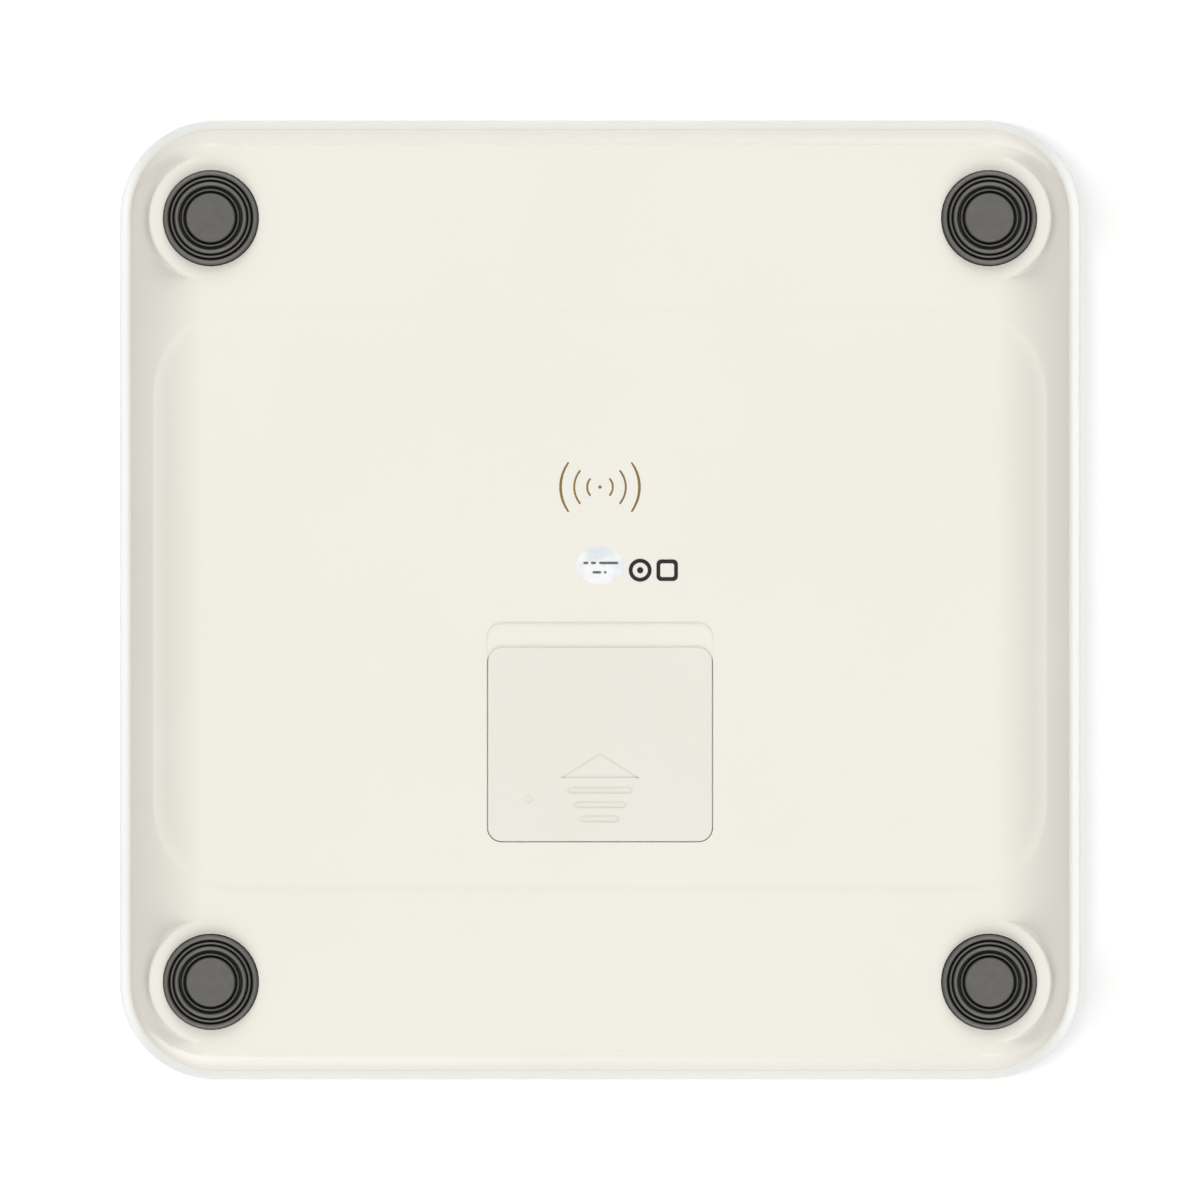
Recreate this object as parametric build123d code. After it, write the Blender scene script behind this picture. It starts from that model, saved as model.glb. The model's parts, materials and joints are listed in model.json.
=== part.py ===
from build123d import *
import math
import os

# Digital bathroom scale, in millimetres. It stands on its feet with +Z up and the origin under its
# centre. The display is at the +Y end of the platform.

# ---- platform and stack heights ----
PLATFORM = 280.0            # side of the square glass
PLATFORM_CORNER = 28.0      # corner radius of the glass
HEIGHT = 23.0               # floor to the top of the glass
GLASS = 5.0                 # glass thickness
PRINT = 0.15                # back print under the glass
TAPE = 0.25                 # bonding tape under the back print
GLASS_Z = HEIGHT - GLASS
PRINT_Z = GLASS_Z - PRINT
SHELL_TOP = PRINT_Z - TAPE

# ---- base shell ----
RIM_Z = 16.8                # underside of the thin flange that meets the glass
FLANGE = 274.4              # side of the flange
RIM = 136.9                 # half width of the hull where it meets the flange
RIM_CORNER = 25.0
FLANGE_CORNER = RIM_CORNER + FLANGE / 2 - RIM
PLATEAU_Z = 2.2             # underside of the hull
FLAT = 114.0                # half width of the flat underside, where the flanks begin
DRAFT = 5.2                 # how far the steep walls lean in over the hull's height
WALL = 2.0
CAVITY = 132.5              # half width of the open space inside
CAVITY_CORNER = 20.0

# ---- sunk panel across the underside ----
PANEL_HALF_X = 129.5
PANEL_HALF_Y = 84.5
PANEL_CORNER = 25.0
PANEL_DEPTH = 0.6
PANEL_Z = PLATEAU_Z + PANEL_DEPTH

# ---- feet and load cells ----
FOOT_X = 112.3
FOOT_Y = 110.2
FOOT_RADIUS = 13.6
FOOT_TRAVEL = 0.5           # how far a load cell gives under its full load
FOOT_GAP = 0.3              # clearance round a foot
BOSS_RADIUS = 18.1
BOSS_Z = PLATEAU_Z          # face of the boss round each foot, level with the flat underside
BOSS_ROUND = 0.8
BOSS_WALL = 2.0
PAD_TOP = 2.4               # top of the rubber tread
PAD_PLUG = 9.0              # radius of the plug that locates the tread in its cup
CUP_FLANGE_Z = 5.6
BOSS_FLOOR = CUP_FLANGE_Z - 0.4      # inner face of the boss, which the cup's flange hangs over
CUP_FLANGE = 15.7           # radius of the flange that keeps the cup in its boss
CELL_Z = 9.0
CELL_THICK = 1.5
HUB_Z = CELL_Z - FOOT_TRAVEL - 0.3   # shoulder on the cup, clear of the cell by the travel and a gap
GAUGE_END = FOOT_X - 11.0   # inward end of a gauge coating, where its wires start
PIN_TOP = 11.2
PIN_RADIUS = 1.8
CELL_SIDE = 27.0
CELL_TOP = CELL_Z + CELL_THICK
HOUSING_RADIUS = 15.8
HOUSING_BORE = 13.2
EAR_REACH = 21.0            # distance of a housing screw from the foot's axis
EAR_ANGLE = 55.0            # its direction, measured from the inward side
EAR_TOP = CELL_TOP + 2.0
POST_RADIUS = 3.5

# ---- battery bay and door ----
RECESS_HALF_X = 32.66       # sunk area that the door slides in
RECESS_LOW_Y = -69.97
RECESS_HIGH_Y = -6.17
RECESS_CORNER = 4.3
DOOR_GAP = 0.3
DOOR_HIGH_Y = -13.75        # the door's leading edge when it is shut
DOOR_THICK = 1.4
DOOR_TRAVEL = 7.0
FLAP = 7.6                  # length of the thin flap at the leading edge, which slides over the shallow strip
FLAP_THICK = 0.4
STRIP_Z = PANEL_Z + FLAP_THICK + 0.1   # floor of the strip beyond the door
DEEP_HIGH_Y = DOOR_HIGH_Y - FLAP + DOOR_TRAVEL + DOOR_GAP   # where the strip begins
LEDGE_Z = PANEL_Z + DOOR_THICK + 0.1
LEDGE_THICK = 1.5
BAY_HALF_X = 26.0
BAY_Y = -42.5               # centre of the four cells
BAY_HALF_Y = 23.3
BAY_WALL = 1.5
BAY_ROOF = 0.8
BATTERY_RADIUS = 5.25
BATTERY_LENGTH = 44.5
BATTERY_PITCH = 11.4
BATTERY_Z = SHELL_TOP - BAY_ROOF - 0.1 - BATTERY_RADIUS
FELT_TOP = BATTERY_Z - BATTERY_RADIUS - 0.6
PLATE_THICK = 0.4
HOOK_X = 30.3
HOOK_WIDE = 1.4
HOOK_LONG = 4.0
HOOK_GRIP = 3.0             # how far a hook's head reaches over the ledge
HOOK_STARTS = (-60.0, -30.0)
MARK_DEPTH = 0.3            # how deep the door's arrow and grip bars are sunk
GRIP_BARS = ((-54.9, 18.7), (-59.1, 15.0), (-63.2, 11.1))   # Y and length of each bar
GATE = (20.7, -57.5, 1.15)  # X, Y and radius of the moulding gate's dimple

# ---- electronics ----
BOARD_Y = 92.0
BOARD_X_SIZE = 100.0
BOARD_Y_SIZE = 46.0
BOARD_Z = 9.0
BOARD_THICK = 1.2
BOARD_TOP = BOARD_Z + BOARD_THICK
WINDOW_X = 70.0             # display window in the back print
WINDOW_Y = 32.0
DISPLAY_Y = 96.0
DISPLAY_Z = 12.2
BUZZER_Y = 32.6
BUZZER_RING = 15.0          # radius of the wall round the buzzer
BUZZER_RADIUS = 12.7
BUZZER_FLOOR = 1.0          # thickness of the shell under the buzzer
BUZZER_Z = PANEL_Z + BUZZER_FLOOR + 0.05
SLOT_ARCS = ((3.7, 0.58), (7.45, 0.58))   # radius and width of the inner sound slots
SLOT_OUTER = (11.8, 0.8)    # outer radius of the last slots, and their width in the middle
SLOT_HALF_ANGLE = 38.5

SCREW_RADIUS = 1.1
HOUSING_SCREW = 6.5         # length under the head
BOARD_SCREW = 4.0

WIRE = 1.0                  # wire diameter
WIRE_PITCH = 1.3            # distance between neighbouring wires
WIRE_FLOOR = 7.2            # height of the harness above the shell's floor
HARNESS_X = 84.0

CORNERS = {
    "front_left": (-1, -1),
    "front_right": (1, -1),
    "rear_left": (-1, 1),
    "rear_right": (1, 1),
}


# ---- small helpers ----
def block(x0, x1, y0, y1, z0, z1):
    """Box between two opposite corners."""
    x0, x1 = min(x0, x1), max(x0, x1)
    y0, y1 = min(y0, y1), max(y0, y1)
    return Pos((x0 + x1) / 2, (y0 + y1) / 2, (z0 + z1) / 2) * Box(x1 - x0, y1 - y0, z1 - z0)


def disc(x, y, z0, z1, radius):
    """Upright cylinder."""
    return Pos(x, y, (z0 + z1) / 2) * Cylinder(radius, z1 - z0)


def slab(x_size, y_size, corner, z0, z1, y=0.0):
    """Upright prism with rounded corners."""
    return Pos(0, y, z0) * extrude(RectangleRounded(x_size, y_size, corner), z1 - z0)


def save(name, shape):
    """Writes one sub-part; a list of shapes becomes a group of separate solids."""
    if isinstance(shape, list):
        shape = Compound(children=[s for one in shape for s in one.solids()])
    export_step(shape, f"parts/{name}.step")


def screw(x, y, z, length):
    """Cross-head screw whose head sits on the level z."""
    head = disc(x, y, z, z + 1.5, 2.4)
    head = fillet(head.edges().group_by(Axis.Z)[-1], 0.7)
    shank = disc(x, y, z - length, z, SCREW_RADIUS)
    slot = block(x - 1.4, x + 1.4, y - 0.25, y + 0.25, z + 0.7, z + 1.5)
    cross = block(x - 0.25, x + 0.25, y - 1.4, y + 1.4, z + 0.7, z + 1.5)
    return head + shank - slot - cross


def ear_places(sx, sy):
    """Centres of the two screws that hold one load cell's housing."""
    reach_x = EAR_REACH * math.cos(math.radians(EAR_ANGLE))
    reach_y = EAR_REACH * math.sin(math.radians(EAR_ANGLE))
    x = sx * (FOOT_X - reach_x)
    return [(x, sy * FOOT_Y - reach_y), (x, sy * FOOT_Y + reach_y)]


def board_posts():
    """Centres of the four board screws."""
    half_x = BOARD_X_SIZE / 2 - 4
    half_y = BOARD_Y_SIZE / 2 - 4
    return [(sx * half_x, BOARD_Y + sy * half_y) for sx in (-1, 1) for sy in (-1, 1)]


# ---- platform ----
def glass_platform():
    body = slab(PLATFORM, PLATFORM, PLATFORM_CORNER, GLASS_Z, HEIGHT)
    rims = body.edges().group_by(Axis.Z)
    return chamfer(rims[0] + rims[-1], 0.6)


def platform_back_print():
    sheet = slab(PLATFORM - 1.4, PLATFORM - 1.4, PLATFORM_CORNER - 0.7, PRINT_Z, GLASS_Z)
    return sheet - slab(WINDOW_X, WINDOW_Y, 3, PRINT_Z, GLASS_Z, DISPLAY_Y)


def platform_tape():
    outer = slab(FLANGE - 1, FLANGE - 1, RIM_CORNER, SHELL_TOP, PRINT_Z)
    return outer - slab(2 * CAVITY, 2 * CAVITY, CAVITY_CORNER, SHELL_TOP, PRINT_Z)


# ---- base shell ----
def hull(inset):
    """Solid form of the base, moved inward by inset: convex flanks at ±X, steep walls at ±Y."""
    floor = PLATEAU_Z + inset
    flat = FLAT - 0.25 * inset
    rim = RIM - inset
    flank = Bezier((flat, floor), (flat + 8.5, floor), (rim - 4, RIM_Z - 4.4), (rim, RIM_Z))
    other = Bezier((-rim, RIM_Z), (4 - rim, RIM_Z - 4.4), (-flat - 8.5, floor), (-flat, floor))
    top = Polyline((rim, RIM_Z), (rim, SHELL_TOP), (-rim, SHELL_TOP), (-rim, RIM_Z))
    section = make_face([Line((-flat, floor), (flat, floor)), flank, top, other])
    across = extrude(Plane.XZ * section, RIM + 5, both=True)
    corner = RIM_CORNER - inset
    foot = rim - DRAFT
    low = Pos(0, 0, floor) * RectangleRounded(2 * foot, 2 * foot, corner - DRAFT)
    high = Pos(0, 0, RIM_Z) * RectangleRounded(2 * rim, 2 * rim, corner)
    walls = loft([low, high], ruled=True) + slab(2 * rim, 2 * rim, corner, RIM_Z, SHELL_TOP)
    return across & walls


def boss(sx, sy):
    """Round pad that surrounds a foot; beyond the load cell it runs up into the flank."""
    x, y = sx * FOOT_X, sy * FOOT_Y
    body = disc(x, y, BOSS_Z, CELL_Z, BOSS_RADIUS)
    body = fillet(body.edges().group_by(Axis.Z)[0], BOSS_ROUND)
    beyond = block(x + sx * (CELL_SIDE / 2 + 0.5), x + sx * 20, y - 20, y + 20, CELL_Z, EAR_TOP)
    return body + (disc(x, y, CELL_Z, EAR_TOP, BOSS_RADIUS) & beyond)


def ribs():
    """Low stiffening ribs on the shell's floor, clear of the harness, the bay and the board."""
    high = 12.0
    low = PANEL_Z + 1
    half = 0.6
    made = []
    for x in (44, 58, 72):
        for side in (-1, 1):
            made.append(block(side * x - half, side * x + half, -118, 44, low, high))
    for y in (-118, -100, -82):
        made.append(block(-76, 76, y - half, y + half, low, high))
    for y in (-58, -34, -10, 14, 44):
        for side in (-1, 1):
            made.append(block(side * 44, side * 76, y - half, y + half, low, high))
    return made


def crescent():
    """Outer sound slot on the +X side, widest in the middle."""
    radius, width = SLOT_OUTER
    shift = 1.6
    half_angle = math.radians(SLOT_HALF_ANGLE)
    x, y = 2 * radius * math.cos(half_angle), 2 * radius * math.sin(half_angle)
    wedge = make_face(Polyline((0, 0), (x, -y), (x, y), (0, 0)))
    inner = Pos(-shift, 0) * Circle(radius - width + shift)
    shape = (Circle(radius) - inner) & wedge
    return fillet(shape.vertices(), 0.2)


def sound_slots():
    """Openings over the buzzer: a dot and three pairs of curved slots."""
    outlines = [Circle(0.5)]
    for middle in (0, 180):
        for radius, width in SLOT_ARCS:
            arc = CenterArc((0, 0), radius, middle - SLOT_HALF_ANGLE, 2 * SLOT_HALF_ANGLE)
            outlines.append(SlotArc(arc, width))
        outlines.append(Rot(0, 0, middle) * crescent())
    return [Pos(0, BUZZER_Y, PANEL_Z - 0.5) * extrude(outline, WALL + 1) for outline in outlines]


def recess_prism(gap, z0, z1, high_y=RECESS_HIGH_Y):
    """Prism of the door's recess, narrowed by gap on every side but the leading one."""
    low_y = RECESS_LOW_Y + gap
    y_size = high_y - low_y
    return slab(2 * (RECESS_HALF_X - gap), y_size, RECESS_CORNER - gap, z0, z1, (high_y + low_y) / 2)


def hook_slots():
    """Slots in the ledge that the door's hooks slide along."""
    wide = HOOK_WIDE / 2 + DOOR_GAP
    cuts = []
    for side in (-1, 1):
        for start in HOOK_STARTS:
            end = start + HOOK_LONG + DOOR_TRAVEL + DOOR_GAP
            x = side * HOOK_X
            cuts.append(block(x - wide, x + wide, start - DOOR_GAP, end, LEDGE_Z, LEDGE_Z + LEDGE_THICK))
    return cuts


def base_shell():
    skin = hull(0) - hull(PANEL_DEPTH)
    panel = slab(2 * PANEL_HALF_X, 2 * PANEL_HALF_Y, PANEL_CORNER, 0, SHELL_TOP)
    body = hull(0) - (skin & panel)
    body += slab(FLANGE, FLANGE, FLANGE_CORNER, RIM_Z, SHELL_TOP)

    under_panel = slab(2 * (PANEL_HALF_X + WALL), 2 * (PANEL_HALF_Y + WALL), PANEL_CORNER, 0, SHELL_TOP)
    space = (hull(WALL) - under_panel) + (hull(WALL + PANEL_DEPTH) & under_panel)
    space = space & slab(2 * CAVITY, 2 * CAVITY, CAVITY_CORNER, 0, SHELL_TOP)
    body -= space

    for sx, sy in CORNERS.values():
        body += boss(sx, sy)
        x, y = sx * FOOT_X, sy * FOOT_Y
        body -= disc(x, y, BOSS_FLOOR, SHELL_TOP, BOSS_RADIUS - BOSS_WALL)
        body -= disc(x, y, BOSS_Z, BOSS_FLOOR, FOOT_RADIUS + FOOT_GAP)
        for px, py in ear_places(sx, sy):
            post = disc(px, py, PLATEAU_Z + 1, CELL_TOP, POST_RADIUS)
            body += post - disc(x, y, 0, SHELL_TOP, BOSS_RADIUS - BOSS_WALL)
            body -= disc(px, py, EAR_TOP - HOUSING_SCREW - 0.5, CELL_TOP, SCREW_RADIUS + 0.05)

    for px, py in board_posts():
        body += disc(px, py, PLATEAU_Z + 1, BOARD_Z, POST_RADIUS)
        body -= disc(px, py, BOARD_TOP - BOARD_SCREW - 0.2, BOARD_Z, SCREW_RADIUS + 0.05)
    for rib in ribs():
        body += rib

    body += disc(0, BUZZER_Y, PANEL_Z + BUZZER_FLOOR, BUZZER_Z + 1.5, BUZZER_RING)
    body -= disc(0, BUZZER_Y, PANEL_Z + BUZZER_FLOOR, BUZZER_Z + 1.5, BUZZER_RING - 2)
    for slot in sound_slots():
        body -= slot

    bay_out_x = BAY_HALF_X + BAY_WALL
    bay_out_y = BAY_HALF_Y + BAY_WALL
    body += block(-RECESS_HALF_X - 2, RECESS_HALF_X + 2, RECESS_LOW_Y - 2, RECESS_HIGH_Y + 2,
                  PANEL_Z + 1, LEDGE_Z + LEDGE_THICK)
    body += block(-bay_out_x, bay_out_x, BAY_Y - bay_out_y, BAY_Y + bay_out_y, PANEL_Z + 1, SHELL_TOP)
    body -= recess_prism(0, 0, STRIP_Z)
    body -= recess_prism(0, 0, LEDGE_Z, DEEP_HIGH_Y)
    body -= block(-BAY_HALF_X, BAY_HALF_X, BAY_Y - BAY_HALF_Y, BAY_Y + BAY_HALF_Y,
                  LEDGE_Z, SHELL_TOP - BAY_ROOF)
    for slot in hook_slots():
        body -= slot
    for y in lead_places():
        body -= block(-bay_out_x, -BAY_HALF_X, y - 1.2, y + 1.2, BATTERY_Z - 0.5, BATTERY_Z + 0.5)
    return body


# ---- feet and load cells, drawn round the Z axis with the inward side at -X ----
def foot_pad():
    """Ringed rubber tread: a flat middle, two thin ridges and two broad ones."""
    profile = Polyline(
        (0, 0.25), (7.3, 0.25), (7.6, 0.9), (7.9, 0.9), (8.0, 0.35), (8.3, 0.35), (8.4, 1.2), (8.9, 1.2),
        (9.1, 0.2), (9.4, 0), (10.2, 0), (10.5, 0.2), (10.7, 0.9), (11.05, 0.9), (11.15, 0.35),
        (11.5, 0.35), (11.6, 0.9), (12.1, 0.9), (12.3, 0.2), (12.6, 0), (13.4, 0),
        (FOOT_RADIUS, 0.5), (FOOT_RADIUS, PAD_TOP), (PAD_PLUG, PAD_TOP), (PAD_PLUG, PAD_TOP + 1),
        (0, PAD_TOP + 1), (0, 0.25))
    return revolve(Plane.XZ * make_face(profile), Axis.Z)


def foot_cup():
    """Moulded cup over the tread: a flange keeps it in the boss and a pin locates it in the cell."""
    body = disc(0, 0, PAD_TOP, CUP_FLANGE_Z, FOOT_RADIUS)
    body += disc(0, 0, CUP_FLANGE_Z, CUP_FLANGE_Z + 1.2, CUP_FLANGE)
    body += disc(0, 0, CUP_FLANGE_Z, HUB_Z, 4)
    body += disc(0, 0, HUB_Z, PIN_TOP, PIN_RADIUS)
    return body - disc(0, 0, PAD_TOP, PAD_TOP + 1, PAD_PLUG)


def load_cell():
    """Steel half-bridge cell: a square frame with a tongue that carries the foot's pin."""
    plan = RectangleRounded(CELL_SIDE, CELL_SIDE, 3) - Rectangle(19, 19)
    plan += Pos(-2.25, 0) * Rectangle(14.5, 9)
    plan -= Circle(PIN_RADIUS + 0.35)
    plan -= [Pos(-9.5, side * 7) * Circle(1.2) for side in (-1, 1)]
    return Pos(0, 0, CELL_Z) * extrude(plan, CELL_THICK)


def gauge_coating():
    """Soft potting over the strain gauges on the tongue's root."""
    body = block(GAUGE_END - FOOT_X, -4.5, -3.5, 3.5, CELL_TOP, CELL_TOP + 1)
    return fillet(body.edges().group_by(Axis.Z)[-1], 0.5)


def cell_housing(sx, sy):
    """Clamps a load cell down on its boss and carries the glass above it."""
    x, y = sx * FOOT_X, sy * FOOT_Y
    body = disc(x, y, CELL_TOP, SHELL_TOP, HOUSING_RADIUS)
    for px, py in ear_places(sx, sy):
        turn = math.degrees(math.atan2(py - y, px - x))
        arm = Pos(x, y, (CELL_TOP + EAR_TOP) / 2) * Rot(0, 0, turn)
        body += arm * Pos(EAR_REACH / 2, 0, 0) * Box(EAR_REACH, 6.4, EAR_TOP - CELL_TOP)
        body += disc(px, py, CELL_TOP, EAR_TOP, 3.2)
        body -= disc(px, py, CELL_TOP, EAR_TOP, 1.4)
    body -= disc(x, y, CELL_TOP, SHELL_TOP - 1.2, HOUSING_BORE)
    body -= disc(x, y, CELL_TOP, SHELL_TOP, 6)
    return body - block(x, x - sx * 17, y - 3.5, y + 3.5, CELL_TOP, CELL_TOP + 3)


def support_pad(sx, sy):
    ring = disc(sx * FOOT_X, sy * FOOT_Y, SHELL_TOP, PRINT_Z, HOUSING_RADIUS)
    return ring - disc(sx * FOOT_X, sy * FOOT_Y, SHELL_TOP, PRINT_Z, 8)


def at_foot(shape, sx, sy):
    """Moves a piece drawn round the Z axis to its corner, with its inward side turned inward."""
    return Pos(sx * FOOT_X, sy * FOOT_Y, 0) * Rot(0, 0, 0 if sx > 0 else 180) * shape


# ---- battery door ----
def battery_door():
    door = recess_prism(DOOR_GAP, PANEL_Z, PANEL_Z + FLAP_THICK, DOOR_HIGH_Y)
    door = chamfer(door.edges().group_by(Axis.Z)[0], 0.15)
    door += recess_prism(DOOR_GAP, PANEL_Z + FLAP_THICK, PANEL_Z + DOOR_THICK, DOOR_HIGH_Y - FLAP)
    arrow = make_face(Polyline((0, -44.1), (-11.5, -51.4), (11.5, -51.4), (0, -44.1)))
    door -= Pos(0, 0, PANEL_Z) * extrude(arrow, MARK_DEPTH)
    for y, length in GRIP_BARS:
        door -= Pos(0, y, PANEL_Z) * extrude(SlotOverall(length, 2.05), MARK_DEPTH)
    gate_x, gate_y, gate_radius = GATE
    door -= disc(gate_x, gate_y, PANEL_Z, PANEL_Z + 0.2, gate_radius)
    for side in (-1, 1):
        x0 = side * HOOK_X - HOOK_WIDE / 2
        x1 = side * HOOK_X + HOOK_WIDE / 2
        base = PANEL_Z + DOOR_THICK
        grip = LEDGE_Z + LEDGE_THICK + DOOR_GAP
        for start in HOOK_STARTS:
            door += block(x0, x1, start, start + HOOK_LONG, base, grip + 1.2)
            door += block(x0, x1, start - HOOK_GRIP, start, grip, grip + 1.2)
    return door


def door_felt():
    """Felt that stops the cells rattling; it stays inside the bay as the door slides."""
    return block(-20, 20, -62, -27, PANEL_Z + DOOR_THICK, FELT_TOP)


# ---- batteries ----
def battery_places():
    """Centre line of each battery and the side that its positive end faces."""
    return [(BAY_Y + (i - 1.5) * BATTERY_PITCH, 1 if i % 2 == 0 else -1) for i in range(4)]


def lead_places():
    """The two outer batteries, whose free ends carry the leads."""
    places = battery_places()
    return [places[0][0], places[3][0]]


def battery(y, side):
    body_length = BATTERY_LENGTH - 1
    tip = side * (BAY_HALF_X - PLATE_THICK)
    along = Pos(tip - side * (1 + body_length / 2), y, BATTERY_Z) * Rot(0, 90, 0)
    can = along * Cylinder(BATTERY_RADIUS, body_length)
    can = fillet(can.edges(), 0.5)
    nub = Pos(tip - side * 0.5, y, BATTERY_Z) * Rot(0, 90, 0) * Cylinder(1.9, 1)
    return can + nub


def contact_plates():
    """Two linked pairs on one side; one linked pair and two lead plates on the other."""
    rows = [y for y, side in battery_places()]
    spans = [(1, rows[0], rows[1]), (1, rows[2], rows[3])]
    spans += [(-1, rows[0], rows[0]), (-1, rows[1], rows[2]), (-1, rows[3], rows[3])]
    plates = []
    for side, first, last in spans:
        plate = block(side * (BAY_HALF_X - PLATE_THICK), side * BAY_HALF_X, first - 4.5, last + 4.5,
                      BATTERY_Z - 4.5, BATTERY_Z + 4.5)
        if first == last:
            plate += block(-BAY_HALF_X - 2.5, -BAY_HALF_X, first - 1, first + 1,
                           BATTERY_Z - 0.25, BATTERY_Z + 0.25)
        plates.append(plate)
    return plates


def contact_spring(y, side):
    """Coil that presses on a battery's flat end."""
    room = 2 * (BAY_HALF_X - PLATE_THICK) - BATTERY_LENGTH
    wire = 0.3
    coil = Helix(pitch=(room - 2 * wire - 0.1) / 4, height=room - 2 * wire - 0.1, radius=3.2)
    start = Plane(origin=coil @ 0, z_dir=coil % 0)
    turns = sweep(start * Circle(wire), path=coil, is_frenet=True)
    base = -side * (BAY_HALF_X - PLATE_THICK - wire - 0.05)
    return Pos(base, y, BATTERY_Z) * Rot(0, side * 90, 0) * turns


# ---- electronics ----
def main_board():
    board = slab(BOARD_X_SIZE, BOARD_Y_SIZE, 2, BOARD_Z, BOARD_TOP, BOARD_Y)
    for px, py in board_posts():
        board -= disc(px, py, BOARD_Z, BOARD_TOP, 1.4)
    return board


def controller_chip():
    """Resin dome over the bare chip, on the underside of the board."""
    dome = disc(-22, BOARD_Y, BOARD_Z - 1.2, BOARD_Z, 6.5)
    return fillet(dome.edges().group_by(Axis.Z)[0], 1.0)


def board_components():
    """Two small capacitors, a crystal and a row of chip resistors under the board."""
    parts = [disc(x, BOARD_Y - 8, BOARD_Z - 2.8, BOARD_Z, 2) for x in (8, 14)]
    parts.append(block(-4, 4, BOARD_Y + 6, BOARD_Y + 9, BOARD_Z - 2, BOARD_Z))
    for i in range(8):
        x = 10 + 3 * i
        parts.append(block(x, x + 1.6, BOARD_Y + 2, BOARD_Y + 2.8, BOARD_Z - 0.6, BOARD_Z))
    return parts


def display_module():
    return slab(74, 34, 1, DISPLAY_Z, DISPLAY_Z + 4.2, DISPLAY_Y)


def display_pins():
    """Two rows of pins that stand the display on the board."""
    return [disc(-31.5 + 7 * i, DISPLAY_Y + side * 14, BOARD_TOP, DISPLAY_Z, 0.35)
            for i in range(10) for side in (-1, 1)]


def display_frame():
    top = DISPLAY_Z + 5.0
    body = slab(80, 37.5, 2, BOARD_TOP, top, DISPLAY_Y)
    body -= slab(74.4, 34.4, 1, BOARD_TOP, DISPLAY_Z + 4.2, DISPLAY_Y)
    return body - slab(WINDOW_X, WINDOW_Y, 2, BOARD_TOP, top, DISPLAY_Y)


def display_gasket():
    base = DISPLAY_Z + 5.0
    ring = slab(80, 37.5, 2, base, PRINT_Z, DISPLAY_Y)
    return ring - slab(WINDOW_X + 1, WINDOW_Y + 1, 2, base, PRINT_Z, DISPLAY_Y)


def display_window():
    return slab(WINDOW_X, WINDOW_Y, 3, PRINT_Z, GLASS_Z, DISPLAY_Y)


def cell_connector(side):
    """Six-way header that both harnesses of one side plug into."""
    return block(side * 42, side * 46, 78, 102, BOARD_TOP, BOARD_TOP + 3)


def battery_connector():
    return block(-4, 4, BOARD_Y - 22, BOARD_Y - 18.5, BOARD_TOP, BOARD_TOP + 3)


# ---- wires ----
def wire(points):
    """Round wire along straight runs joined by arcs as wide as the runs allow."""
    vectors = [Vector(*p) for p in points]
    radii = []
    for a, b, c in zip(vectors, vectors[1:], vectors[2:]):
        turn = math.radians((b - a).get_angle(c - b))
        shorter = min((b - a).length, (c - b).length)
        radii.append(min(0.45 * shorter / math.tan(turn / 2), 25))
    path = FilletPolyline(*vectors, radius=radii)
    start = Plane(origin=path @ 0, z_dir=path % 0)
    return sweep(start * Circle(WIRE / 2), path=path)


def cell_harness(sx, sy):
    """Three wires from a load cell's gauges to the board."""
    header_z = BOARD_TOP + 1.5
    if sy < 0:
        route = [(GAUGE_END, -FOOT_Y, 11.5), (90, -FOOT_Y, 11.5), (HARNESS_X, -98, WIRE_FLOOR),
                 (HARNESS_X, 44, WIRE_FLOOR), (66, 76, WIRE_FLOOR), (56, 82, header_z), (46, 82, header_z)]
    else:
        route = [(GAUGE_END, FOOT_Y, 11.5), (90, FOOT_Y, 11.5), (76, 105, WIRE_FLOOR), (64, 101, WIRE_FLOOR),
                 (56, 98, header_z), (46, 98, header_z)]
    wires = []
    for k in (-1, 0, 1):
        shift = k * WIRE_PITCH
        wires.append(wire([(sx * x + (sx * shift if 46 < x < GAUGE_END else 0), y - sy * shift, z)
                           for x, y, z in route]))
    return wires


def battery_leads():
    """Two wires from the outer battery contacts to the board."""
    header_z = BOARD_TOP + 1.5
    tab = -BAY_HALF_X - 2.5
    leads = []
    for y, lane, end in zip(lead_places(), (-39, -36), (-2, 2)):
        leads.append(wire([(tab, y, BATTERY_Z), (lane, y, BATTERY_Z), (lane, 10, WIRE_FLOOR),
                           (lane, 46, WIRE_FLOOR), (end, 62, header_z), (end, BOARD_Y - 22, header_z)]))
    return leads


def wire_clip(x, y):
    """Saddle that holds one harness to the floor."""
    base = PANEL_Z + WALL
    body = block(x - 3.5, x + 3.5, y - 2, y + 2, base, WIRE_FLOOR + 1.6)
    body = fillet(body.edges().group_by(Axis.Z)[-1], 0.5)
    return body - block(x - 2.1, x + 2.1, y - 2, y + 2, WIRE_FLOOR - 0.8, WIRE_FLOOR + 0.8)


# ---- buzzer and markings ----
def buzzer_disc():
    return disc(0, BUZZER_Y, BUZZER_Z, BUZZER_Z + 0.4, BUZZER_RADIUS)


def buzzer_ceramic():
    return disc(0, BUZZER_Y, BUZZER_Z + 0.4, BUZZER_Z + 0.7, 9.5)


def rating_label():
    return Pos(0, 10.0, PANEL_Z - 0.1) * extrude(Ellipse(7.05, 5.38), 0.1)


def printed_marks():
    """Two plain shapes: a ring with a dot, and a rounded square frame."""
    ring = Circle(3.3) - Circle(2.2) + Circle(0.9)
    frame = RectangleRounded(6.2, 6.2, 1.4) - RectangleRounded(4.0, 4.0, 0.6)
    return [Pos(-11.6, 8.6, PANEL_Z - 0.08) * extrude(ring, 0.08),
            Pos(-19.4, 8.6, PANEL_Z - 0.08) * extrude(frame, 0.08)]


# ---- build every sub-part ----
os.makedirs("parts", exist_ok=True)

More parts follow.
